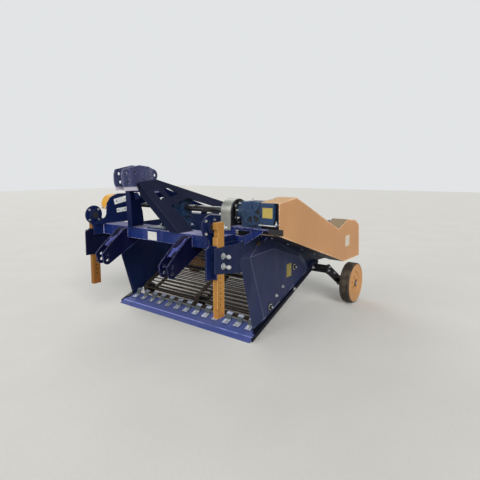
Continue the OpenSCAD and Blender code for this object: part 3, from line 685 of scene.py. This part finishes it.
# Middle gearbox and its stub
# A cast box on a seat plate over the beam, with a bolted cap where each shaft leaves it, a ring of
# bolts round the input and a breather on top. The splined stub takes the tractor's shaft.
def casting(name, colour):
    """Painted cast iron: rough skin, grime, painted shade in its corners and lighter edges that are partly
    worn paint and partly a painted highlight.
    """
    made = Finish(name, {"Specular IOR Level": 0.3})
    cloud = made.noise(7.0, 5.0)
    grime = made.step(made.noise(18.0, 6.0), 0.5, 0.72)
    tone = made.mix(shade(colour, 0.7), shade(colour, 1.1), made.step(cloud, 0.3, 0.65))
    # Dark grime in patches, and painted shade in corners found by ambient occlusion.
    greasy = made.mix(tone, linear(14, 15, 20), made.step(grime * 0.4 + made.corner_shade(0.06) * 1.5, 0.0, 1.0))
    # Lighter edges: partly worn paint, partly a painted highlight.
    worn = made.mix(greasy, linear(104, 126, 150), made.edge(0.004) * 0.5)
    made.feed(made.shader, {"Base Color": worn, "Roughness": 0.36 + grime * 0.3 + cloud * 0.1})
    made.bump(made.noise(130.0, 4.0) + cloud * 0.6, 0.0016)
    return made


gear_paint = casting("gearbox paint", linear(24, 50, 82))
coat(gear_paint, "centre_gearbox", "side_gearbox")
shaft_x, shaft_z = -0.050, 1.080
input_x, box_side, box_top, seat_top = 0.091, 0.096, 1.164, 0.912
cap_t = 0.009
forward, leftward, upward = (1, 0, 0), (0, 1, 0), (0, 0, 1)


def ring(middle, radius, count, axis, start=0.0):
    """Points evenly round a middle, in the plane square to axis x or y."""
    turns = [start + i * 2 * math.pi / count for i in range(count)]
    if axis == "x":
        return [middle + Vector((0, radius * math.cos(t), radius * math.sin(t))) for t in turns]
    return [middle + Vector((radius * math.cos(t), 0, radius * math.sin(t))) for t in turns]


bolts("input_bolts", [(p, forward) for p in ring(at(input_x, 0, shaft_z), 0.048, 6, "x", 0.5)],
      0.013, 0.007)
caps = []
for side in (1, -1):
    foot = at(shaft_x, side * box_side, shaft_z)
    caps.append(drum(0.076, cap_t, foot, (0, side, 0), 48, 0.002))
    caps.append(drum(0.042, 0.016, foot, (0, side, 0), 40, 0.003))
finish(joined("middle_box_caps", caps), gear_paint, "frame", "gearbox_teal")
bolts("middle_cap_bolts", [
    (p, (0, side, 0)) for side in (1, -1)
    for p in ring(at(shaft_x, side * (box_side + cap_t), shaft_z), 0.061, 6, "y", 0.3)],
    0.013, 0.007, gear_paint, slot="gearbox_teal")
bolts("seat_bolts", [(at(x, side * 0.108, seat_top), upward) for x in (-0.120, 0.060) for side in (1, -1)],
      0.018, 0.011)
bolts("middle_breather", [(at(-0.075, 0.030, box_top), upward)], 0.019, 0.010, stud=0.010)

bare_steel = Finish("turned steel", {"Metallic": 1.0})
steel_cloud = bare_steel.noise(12.0, 5.0)
steel_patches = bare_steel.step(steel_cloud, 0.35, 0.6)
steel_tone = bare_steel.mix(linear(98, 90, 82), linear(176, 176, 174), steel_patches)
bare_steel.feed(bare_steel.shader, {"Base Color": steel_tone, "Roughness": 0.3 + steel_cloud * 0.25})
bare_steel.bump(bare_steel.noise(90.0, 3.0, (8, 1, 1)), 0.0004)
spline_count, spline_root, spline_tip = 6, 0.0147, 0.0174
spline_deep, spline_w = 0.0055, 0.0086
spline_runs = ((0.111, 0.040), (0.158, 0.028))  # start and length, before and after the locking groove
stub_foot = at(input_x, 0, shaft_z)
stub_pieces = [drum(spline_root, 0.095, stub_foot, forward, 32, 0.0015),
               drum(spline_tip, 0.022, stub_foot, forward, 32, 0.001)]
for i in range(spline_count):
    turn = i * 2 * math.pi / spline_count
    offset = Vector((0, math.cos(turn), math.sin(turn))) * (spline_root - 0.0003)
    for start, length in spline_runs:
        middle = at(start + length / 2, 0, shaft_z) + offset
        stub_pieces.append(slab((length, spline_deep, spline_w), middle, (turn, 0, 0), 0.0006))
stub = finish(joined("splined_stub", stub_pieces), bare_steel, "frame", "bare_steel")
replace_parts(stub, "pto_stub")
coat(bare_steel, "pto_stub")


# Cross shafts, bearing plate and guards
# A black painted steel tube runs from the middle box to each side, through a round headed plate with
# a flanged bearing. The guards are half-round bends of galvanised and of yellow painted sheet.
black_paint = paint("black paint", linear(20, 21, 27), dust_and_sheen_amount=0.14, wear_and_highlight_amount=0.7, gloss=0.32)
coat(black_paint, "bearing_plate_left", "axle_tube", "wheel_arm_left", "wheel_arm_right",
     "web_rollers", "web_drive_shaft")
shaft_paint = paint("shaft paint", linear(22, 22, 26), dust_and_sheen_amount=0.05, wear_and_highlight_amount=0.3, gloss=0.16, shine=0.7)
coat(shaft_paint, "cross_shafts")
sheet_zinc = zinc_finish("galvanised sheet", linear(150, 151, 145), linear(120, 121, 115), 0.26, 3.0)
coat(sheet_zinc, "shaft_guard_left")
guard_paint = paint("guard paint", linear(206, 152, 56), dust_and_sheen_amount=0.2, wear_and_highlight_amount=0.6)
coat(guard_paint, "shaft_guard_right")
bearing_ring = 0.066 * math.sin(math.pi / 4)
bearing_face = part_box("bearing_plate_left")[0].y + 0.012
bolts("bearing_bolts", [
    (at(shaft_x + i * bearing_ring, bearing_face, shaft_z + k * bearing_ring), leftward)
    for i in (-1, 1) for k in (-1, 1)], 0.018, 0.010, stud=0.006)
bearing_foot = ((-0.022, 1.012), (-0.034, 0.992))
bolts("bearing_foot_bolts", [(at(x, bearing_face, z), leftward) for x, z in bearing_foot],
      0.014, 0.010, stud=0.008)
guard_low, guard_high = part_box("shaft_guard_left")
bolts("guard_bolts_left", [
    (Vector((guard_high.x, guard_low.y + y, z)), forward) for y, z in ((0.024, 0.958), (0.054, 0.944))],
    0.021, 0.012, stud=0.010)
yellow_low, yellow_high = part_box("shaft_guard_right")
bolts("guard_bolts_right", [
    (Vector((yellow_high.x, yellow_low.y + y, 1.056)), forward) for y in (0.022, 0.078)], 0.014, 0.008)


white_zinc = zinc_finish("white zinc strips", linear(250, 250, 246), linear(214, 216, 214), 0.5,
                         metallic=0.0)
upright_low, upright_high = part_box("upright_plate_right")
slot_places, slot_bolt_places = (-0.34, 0.34), (-0.12, 0.12)


def slotted(name, corners):
    """Zinc plated strip on the upright's inner face, with a slot near each end and two bolts between."""
    thick = 0.003
    places = [at(x, upright_high.y + 0.0018, z) for x, z in corners]
    middle = sum(places, Vector()) / 4
    along = (places[0] + places[3] - places[1] - places[2]) / 2
    width = ((places[0] + places[1]) - (places[2] + places[3])).length / 2
    strip = slab((along.length, thick, width), middle, tilt(along), 0.0008)
    for part in slot_places:
        cutter = slab((0.022, 0.02, 0.009), middle + along * part, tilt(along), 0.003)
        modify(strip, "BOOLEAN", operation="DIFFERENCE", object=cutter)
        choose(cutter)
        bpy.ops.object.delete()
    face = middle + Vector((0, thick / 2, 0))
    heads = [hexagon(0.011, 0.006, face + along * part, leftward) for part in slot_bolt_places]
    finish(joined(name, [strip, *heads]), white_zinc, "frame", "zinc")


slotted("slotted_strip_upper", [(0.145, 1.136), (-0.021, 1.167), (-0.028, 1.112), (0.139, 1.079)])
slotted("slotted_strip_lower", [(0.124, 1.043), (-0.004, 1.045), (-0.011, 1.012), (0.105, 0.995)])
weld("upright_welds", [
    (at(beam_rear + 0.007, y, foot_bead_z), at(beam_front - 0.006, y, foot_bead_z))
    for y in (upright_high.y + bead_out, upright_low.y - bead_out)], flange_paint)


# Side gearbox
# A cast box bolted on its platform, with a ribbed round cap on its front, a flat lid with a yellow
# plate and four screws, and a breather on top.
cap_y, cap_z, cap_face = 0.919, 1.085, 0.0595
neck_y, neck_t = 0.741, 0.008
neck = drum(0.093, neck_t, at(shaft_x, neck_y, shaft_z), leftward, 48, 0.0015)
finish(joined("neck_flange", [neck]), seal_black, "frame", "black_paint")
bolts("neck_bolts", [
    (p, leftward) for p in ring(at(shaft_x, neck_y + neck_t, shaft_z), 0.083, 8, "y", 0.21)],
    0.012, 0.009, stud=0.006)
hollow_shade_paint = casting("cap hollow shade", linear(12, 16, 26))


def hollow(turn):
    """Painted shade in the hollow between two ribs of the cap, as a thin dark plate; turn is its middle,
    in degrees from straight down."""
    inner, outer, half_angle, steps = 0.030, 0.074, 17, 6
    x = cap_face + 0.0007
    outline = []
    for radius, sweep in ((inner, range(-steps, steps + 1)), (outer, range(steps, -steps - 1, -1))):
        for i in sweep:
            way = math.radians(turn + i * half_angle / steps)
            outline.append(at(x, cap_y + radius * math.sin(way), cap_z - radius * math.cos(way)))
    begin()
    bpy.ops.mesh.primitive_circle_add(vertices=len(outline), fill_type="NGON", location=(0, 0, 0))
    plate = bpy.context.object
    for vertex, where in zip(plate.data.vertices, outline):
        vertex.co = where
    bpy.ops.object.mode_set(mode="EDIT")
    bpy.ops.mesh.select_all(action="SELECT")
    bpy.ops.mesh.extrude_region_move(TRANSFORM_OT_translate={"value": (0.0012, 0, 0)})
    bpy.ops.mesh.select_all(action="SELECT")
    bpy.ops.mesh.normals_make_consistent(inside=False)
    bpy.ops.object.mode_set(mode="OBJECT")
    return plate


hollow_turns = (42, 102, 342)
finish(joined("cap_hollows", [hollow(turn) for turn in hollow_turns]), hollow_shade_paint, "frame", "gearbox_teal")
bolts("side_cap_bolts", [(p, forward) for p in ring(at(cap_face, cap_y, cap_z), 0.083, 6, "x", 0.837)],
      0.016, 0.008, gear_paint, slot="gearbox_teal")
lid_face = 0.070
bolts("lid_screws", [(at(lid_face, y, z), forward) for y in (1.010, 1.102) for z in (1.018, 1.154)],
      0.012, 0.006, gear_paint, slot="gearbox_teal")
foot_edge = slab((0.002, 0.154, 0.0085), at(0.0778, 1.064, 1.0005), bevel=0.0005)
finish(joined("foot_plate_edge", [foot_edge]), zinc, "frame", "zinc")
foot_top, breather_foot = 1.005, 1.170
bolts("foot_bolts", [(at(0.052, y, foot_top), upward) for y in (0.992, 1.128)], 0.015, 0.012, stud=0.014)
bolts("side_breather", [(at(-0.030, 0.860, breather_foot), upward)], 0.019, 0.010, stud=0.012)
edge_guard = slab((0.0215, 0.122, 0.046), at(0.051, 1.124, 0.951), bevel=0.004)
finish(joined("platform_edge_guard", [edge_guard]), seal_black, "frame", "black_paint")
rear_flange = slab((0.006, 0.240, 0.128), at(-0.236, 0.684, 0.892))
finish(joined("platform_rear_flange", [rear_flange]), black_paint, "frame", "blue_paint")
label("gearbox_plate", 0.088, 0.077, at(lid_face + 0.0012, 1.062, 1.094), facing_front,
      linear(166, 146, 66), linear(128, 108, 50))


# Chain cover
# A welded box of 3 mm sheet, painted tan orange, on a back plate that three tubes hold off the left
# wall; the back plate and thin sheets on the cover's front and underside are near black, as painted
# shade. Screws along its rim pull it to the back plate, and a small white plate is near its rear.
# The cover's pale top colour is partly dust and partly a painted sheen, and its pale edges partly wear and
# partly a painted highlight.
cover_paint = paint("cover paint", linear(178, 132, 91), dust_and_sheen_amount=0.4, wear_and_highlight_amount=1.4, gloss=0.46, streak=0.0,
                    uneven=0.06, haze=0.1, line=0.014, dust_and_sheen_colour=linear(200, 180, 142),
                    wear_and_highlight_colour=linear(236, 202, 166))
dip_x, dip_fade = -1.10, 0.03
# Painted shade: the up-facing faces behind the dip are darker, to show the notch.
behind = 1 - cover_paint.step(cover_paint.spot("X"), tip + dip_x, tip + dip_x + dip_fade)
in_dip = behind * cover_paint.step(cover_paint.facing_up(), 0.6, 0.85)
cover_paint.feed(cover_paint.shader, {
    "Base Color": cover_paint.mix(cover_paint.tone, linear(128, 112, 90), in_dip * 0.9)})
coat(cover_paint, "chain_cover")
# Near-black painted shade for the back plate under the cover and for sheets on the cover's front and
# underside.
case_shade_paint = paint("chain case shade paint", linear(15, 17, 28), dust_and_sheen_amount=0.08, wear_and_highlight_amount=0.4)
coat(case_shade_paint, "chain_case_back")
coat(wall_paint, "cover_standoffs", "top_cross_tube", "rear_cross_tube")
upper_rim = [(0.038, 1.170), (-0.229, 1.199), (-1.104, 0.846), (-1.339, 0.919)]
lower_rim = [(-1.672, 0.831), (-1.703, 0.485), (-1.262, 0.495), (0.033, 0.921)]
# Thin near-black sheets on the cover's front and underside: painted shade.
shade_sheet_y, shade_sheet_w, shade_sheet_t = 1.063, 0.154, 0.002
low_rear, low_front = [Vector((x, 0, z)) for x, z in lower_rim[2:]]
underside = low_front - low_rear
below = Vector((underside.z, 0, -underside.x)).normalized() * shade_sheet_t / 2
low_middle = (low_front + low_rear) / 2 + below
shade_sheets = [
    slab((shade_sheet_t, shade_sheet_w, 0.243), at(0.0365, shade_sheet_y, 1.0455), (0, 0.020, 0), 0.0005),
    slab((underside.length - 0.010, shade_sheet_w, shade_sheet_t), at(low_middle.x, shade_sheet_y, low_middle.z),
         tilt(underside), 0.0005)]
finish(joined("cover_shade_sheets", shade_sheets), case_shade_paint, "frame", "blue_paint")
cover_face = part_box("chain_cover")[1].y
label("cover_plate", 0.108, 0.112, at(-1.343, cover_face + 0.0012, 0.698), facing_left,
      linear(194, 184, 166), linear(160, 148, 128))
inside = Vector((-0.8, 0, 0.78))
screw_y, screw_pitch = 1.000, 0.3
rim_screws = []
for rim in (upper_rim, lower_rim):
    for (x0, z0), (x1, z1) in zip(rim, rim[1:]):
        along = Vector((x1 - x0, 0, z1 - z0))
        outward = Vector((-along.z, 0, along.x)).normalized()
        if outward.dot(Vector((x0, 0, z0)) - inside) < 0:
            outward = -outward
        count = max(1, round(along.length / screw_pitch))
        rim_screws += [(at(x0, screw_y, z0) + along * (i + 0.5) / count, outward) for i in range(count)]
bolts("cover_screws", rim_screws, 0.012, 0.005)


# Rear wheels and tyres
# Pressed steel discs in tan orange on stub axles, each held by a nut on its axle, with narrow ribbed
# rubber tyres grey with dust.
wheel_paint = paint("wheel paint", linear(176, 130, 84), dust_and_sheen_amount=0.3, wear_and_highlight_amount=0.6, gloss=0.45, streak=0.0,
                    uneven=0.12, dust_and_sheen_colour=linear(134, 100, 66), wear_and_highlight_colour=linear(130, 96, 62))
coat(wheel_paint, "wheel_left", "wheel_right")
rubber = Finish("tyre rubber", {"Specular IOR Level": 0.3})
rubber_dust = rubber.step(rubber.noise(11.0, 6.0), 0.42, 0.72)
rubber.feed(rubber.shader, {
    "Base Color": rubber.mix(linear(52, 46, 41), linear(106, 93, 78), rubber_dust * 0.6),
    "Roughness": 0.72 + rubber_dust * 0.2})
rubber.bump(rubber.noise(160.0, 4.0) + rubber.noise(24.0), 0.0012)
coat(rubber, "tyre_left", "tyre_right")

grease = Finish("greasy hub", {"Specular IOR Level": 0.6})
grease_tone = grease.noise(60.0, 5.0)
grease.feed(grease.shader, {
    "Base Color": grease.mix(linear(34, 22, 16), linear(92, 58, 38), grease_tone),
    "Roughness": 0.3 + grease_tone * 0.4})
grease.bump(grease_tone, 0.0006)
tyre_low, tyre_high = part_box("tyre_left")
wheel_x = (tyre_low.x + tyre_high.x) / 2 - tip
wheel_r = (tyre_high.z - tyre_low.z) / 2
tyre_in, tyre_out = tyre_low.y, tyre_high.y
rim_r = 0.201
grooves = (1.104, 1.129, 1.154)
groove_half, groove_floor, groove_deep = 0.004, 0.0025, 0.004


def tyre(name, side, wheel):
    """Band of rubber with three grooves, turned from its profile."""
    outline = [(rim_r, tyre_in), (wheel_r - 0.006, tyre_in), (wheel_r, tyre_in + 0.008)]
    for y in grooves:
        outline += [(wheel_r, y - groove_half), (wheel_r - groove_deep, y - groove_floor),
                    (wheel_r - groove_deep, y + groove_floor), (wheel_r, y + groove_half)]
    outline += [(wheel_r, tyre_out - 0.010), (wheel_r - 0.005, tyre_out), (rim_r, tyre_out)]
    begin()
    bpy.ops.mesh.primitive_circle_add(vertices=len(outline), fill_type="NOTHING", location=(0, 0, 0))
    band = bpy.context.object
    middle = at(wheel_x, 0, wheel_r)
    for vertex, (radius, y) in zip(band.data.vertices, outline):
        vertex.co = middle + Vector((radius, side * y, 0))
    bpy.ops.object.mode_set(mode="EDIT")
    bpy.ops.mesh.select_all(action="SELECT")
    bpy.ops.mesh.spin(steps=96, angle=2 * math.pi, center=middle, axis=(0, 1, 0))
    bpy.ops.mesh.select_all(action="SELECT")
    bpy.ops.mesh.remove_doubles(threshold=0.00005)
    bpy.ops.mesh.normals_make_consistent(inside=False)
    bpy.ops.object.mode_set(mode="OBJECT")
    choose(band)
    bpy.ops.object.shade_smooth_by_angle(angle=math.radians(25))
    return finish(joined(name, [band]), rubber, wheel, "tyre_rubber")


axle_face, hub_face, disc_face = 1.1812, 1.179, 1.163
for side, name in both_sides:
    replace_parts(tyre("ribbed_tyre_" + name, side, name + "_wheel"), "tyre_" + name)
    out = (0, side, 0)
    axle_end = at(wheel_x, side * axle_face, wheel_r)
    nut = [hexagon(0.028, 0.007, axle_end, out), drum(0.008, 0.010, axle_end, out, 16, 0.001)]
    finish(joined("axle_nut_" + name, nut), bare_steel, "frame", "bare_steel")
    seal = drum(0.037, 0.0018, at(wheel_x, side * hub_face, wheel_r), out, 48, 0.0006)
    finish(joined("hub_seal_" + name, [seal]), grease, name + "_wheel", "black_paint")
    disc = at(wheel_x, side * disc_face, wheel_r)
    heads = [drum(0.006, 0.012, p, out, 12, 0.001) for p in ring(disc, 0.062, 5, "y", 0.3)]
    finish(joined("disc_rivets_" + name, heads), wheel_paint, name + "_wheel", "wheel_orange")


# Wheel arms
# Flat steel arms with five holes, painted black, bolted to the square tube under the rails so that
# the machine's working height can be set.
arm_face = 0.997
arm_bolts = [(-1.240, 0.418), (-1.224, 0.384), (-1.372, 0.330)]
for side, name in both_sides:
    bolts("arm_bolts_" + name, [(at(x, side * arm_face, z), (0, side, 0)) for x, z in arm_bolts],
          0.017, 0.010, stud=0.006)


# Web
# Steel rods riveted on three rubber belts, one closed loop over the rollers. The rods are rusty and
# caked with soil, the crowns of some rubbed bright and given a painted highlight on top. A large bolt
# goes through each wall above its front.
rust = Finish("rusty rods", {"Metallic": 0.2, "Specular IOR Level": 0.3})
rust_band = rust.noise(3.2, 2.0, (6, 0.12, 6))
rust_cloud = rust.noise(9.0, 6.0)
rust_speck = rust.noise(70.0, 5.0)
rust_patches = rust.step(rust_cloud * 0.6 + rust_speck * 0.4, 0.36, 0.66)
rust_tone = rust.mix(linear(38, 32, 29), linear(84, 70, 58), rust_patches)
# Crowns of some rods: partly polished bright, partly a painted highlight on their tops.
crown_polish_and_highlight = rust.step(rust.facing_up(), 0.4, 0.95) * rust.step(rust_band, 0.52, 0.66)
rust.feed(rust.shader, {
    "Base Color": rust.mix(rust_tone, linear(170, 156, 134), crown_polish_and_highlight * 0.6),
    "Roughness": 0.76 - crown_polish_and_highlight * 0.25})
rust.bump(rust_speck, 0.0008)
coat(rust, "web")
pivot_washer = 0.004
for side, name in both_sides:
    out = (0, side, 0)
    pivot = at(-0.167, side * wall_face, 0.805)
    head = [drum(0.025, pivot_washer, pivot, out, 32, 0.001),
            hexagon(0.032, 0.014, pivot + Vector(out) * pivot_washer, out)]
    finish(joined("web_pivot_bolt_" + name, head), rust, "frame", "rod_steel")
belt_rubber = Finish("belt rubber", {"Specular IOR Level": 0.25})
belt_dust = belt_rubber.step(belt_rubber.noise(14.0, 6.0), 0.4, 0.7)
belt_rubber.feed(belt_rubber.shader, {
    "Base Color": belt_rubber.mix(linear(30, 27, 25), linear(84, 68, 52), belt_dust * 0.6),
    "Roughness": 0.75 + belt_dust * 0.15})
belt_rubber.bump(belt_rubber.noise(150.0, 3.0), 0.0008)

web_front, web_rear = at(-0.345, 0, 0.108), at(-1.500, 0, 0.680)
web_way = (web_front - web_rear).normalized()
web_up = Vector((-web_way.z, 0, web_way.x))
web_len = (web_front - web_rear).length
web_half = -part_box("web")[0].y
belt_r, belt_t, belt_w = 0.0583, 0.009, 0.050
rod_r, rod_seat = 0.0065, 0.0005
rivet_r, rivet_t, rivet_out = 0.0055, 0.0028, 0.015
run_count, bend_count = 26, 4


def bend(end, way, count):
    """Points of the loop round one of its ends, from top to bottom, as the end and the way outwards."""
    turns = [i * math.pi / count for i in range(count + 1)]
    return [(end, web_up * math.cos(turn) + way * math.sin(turn)) for turn in turns]


def belt(y):
    """Closed rubber belt, from y to the left over its width."""
    outline = bend(web_front, web_way, 16) + bend(web_rear, -web_way, 16)[::-1]
    begin()
    bpy.ops.mesh.primitive_circle_add(vertices=len(outline), fill_type="NOTHING", location=(0, 0, 0))
    band = bpy.context.object
    for vertex, (end, outward) in zip(band.data.vertices, outline):
        vertex.co = end + outward * belt_r + Vector((0, y, 0))
    bpy.ops.object.mode_set(mode="EDIT")
    bpy.ops.mesh.select_all(action="SELECT")
    bpy.ops.mesh.extrude_edges_move(TRANSFORM_OT_translate={"value": (0, belt_w, 0)})
    bpy.ops.mesh.select_all(action="SELECT")
    bpy.ops.mesh.normals_make_consistent(inside=False)
    bpy.ops.object.mode_set(mode="OBJECT")
    modify(band, "SOLIDIFY", thickness=belt_t, offset=1)
    return band


belt_starts = (-web_half, -belt_w / 2, web_half - belt_w)
finish(joined("web_belts", [belt(y) for y in belt_starts]), belt_rubber, "frame", "tyre_rubber")

rod_places = []
for i in range(run_count + 1):
    spot = web_front - web_way * (i * web_len / run_count)
    rod_places += [(spot, web_up), (spot, -web_up)]
rod_places += bend(web_front, web_way, bend_count)[1:-1] + bend(web_rear, -web_way, bend_count)[1:-1]
rods, rivets = [], []
for spot, outward in rod_places:
    middle = spot + outward * (belt_r + rod_r + rod_seat)
    rods.append(drum(rod_r, 2 * web_half, middle - Vector((0, web_half, 0)), leftward, 12))
    along = Vector((outward.z, 0, -outward.x)) * rivet_out
    for y in belt_starts:
        on_belt = spot + outward * (belt_r + belt_t) + Vector((0, y + belt_w / 2, 0))
        for step in (-1, 1):
            rivets.append(drum(rivet_r, rivet_t, on_belt + along * step, outward, 10))
web_rods = finish(joined("web_rods", rods), rust, "frame", "rod_steel")
finish(joined("web_rivets", rivets), rust, "frame", "rod_steel")
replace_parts(web_rods, "web")
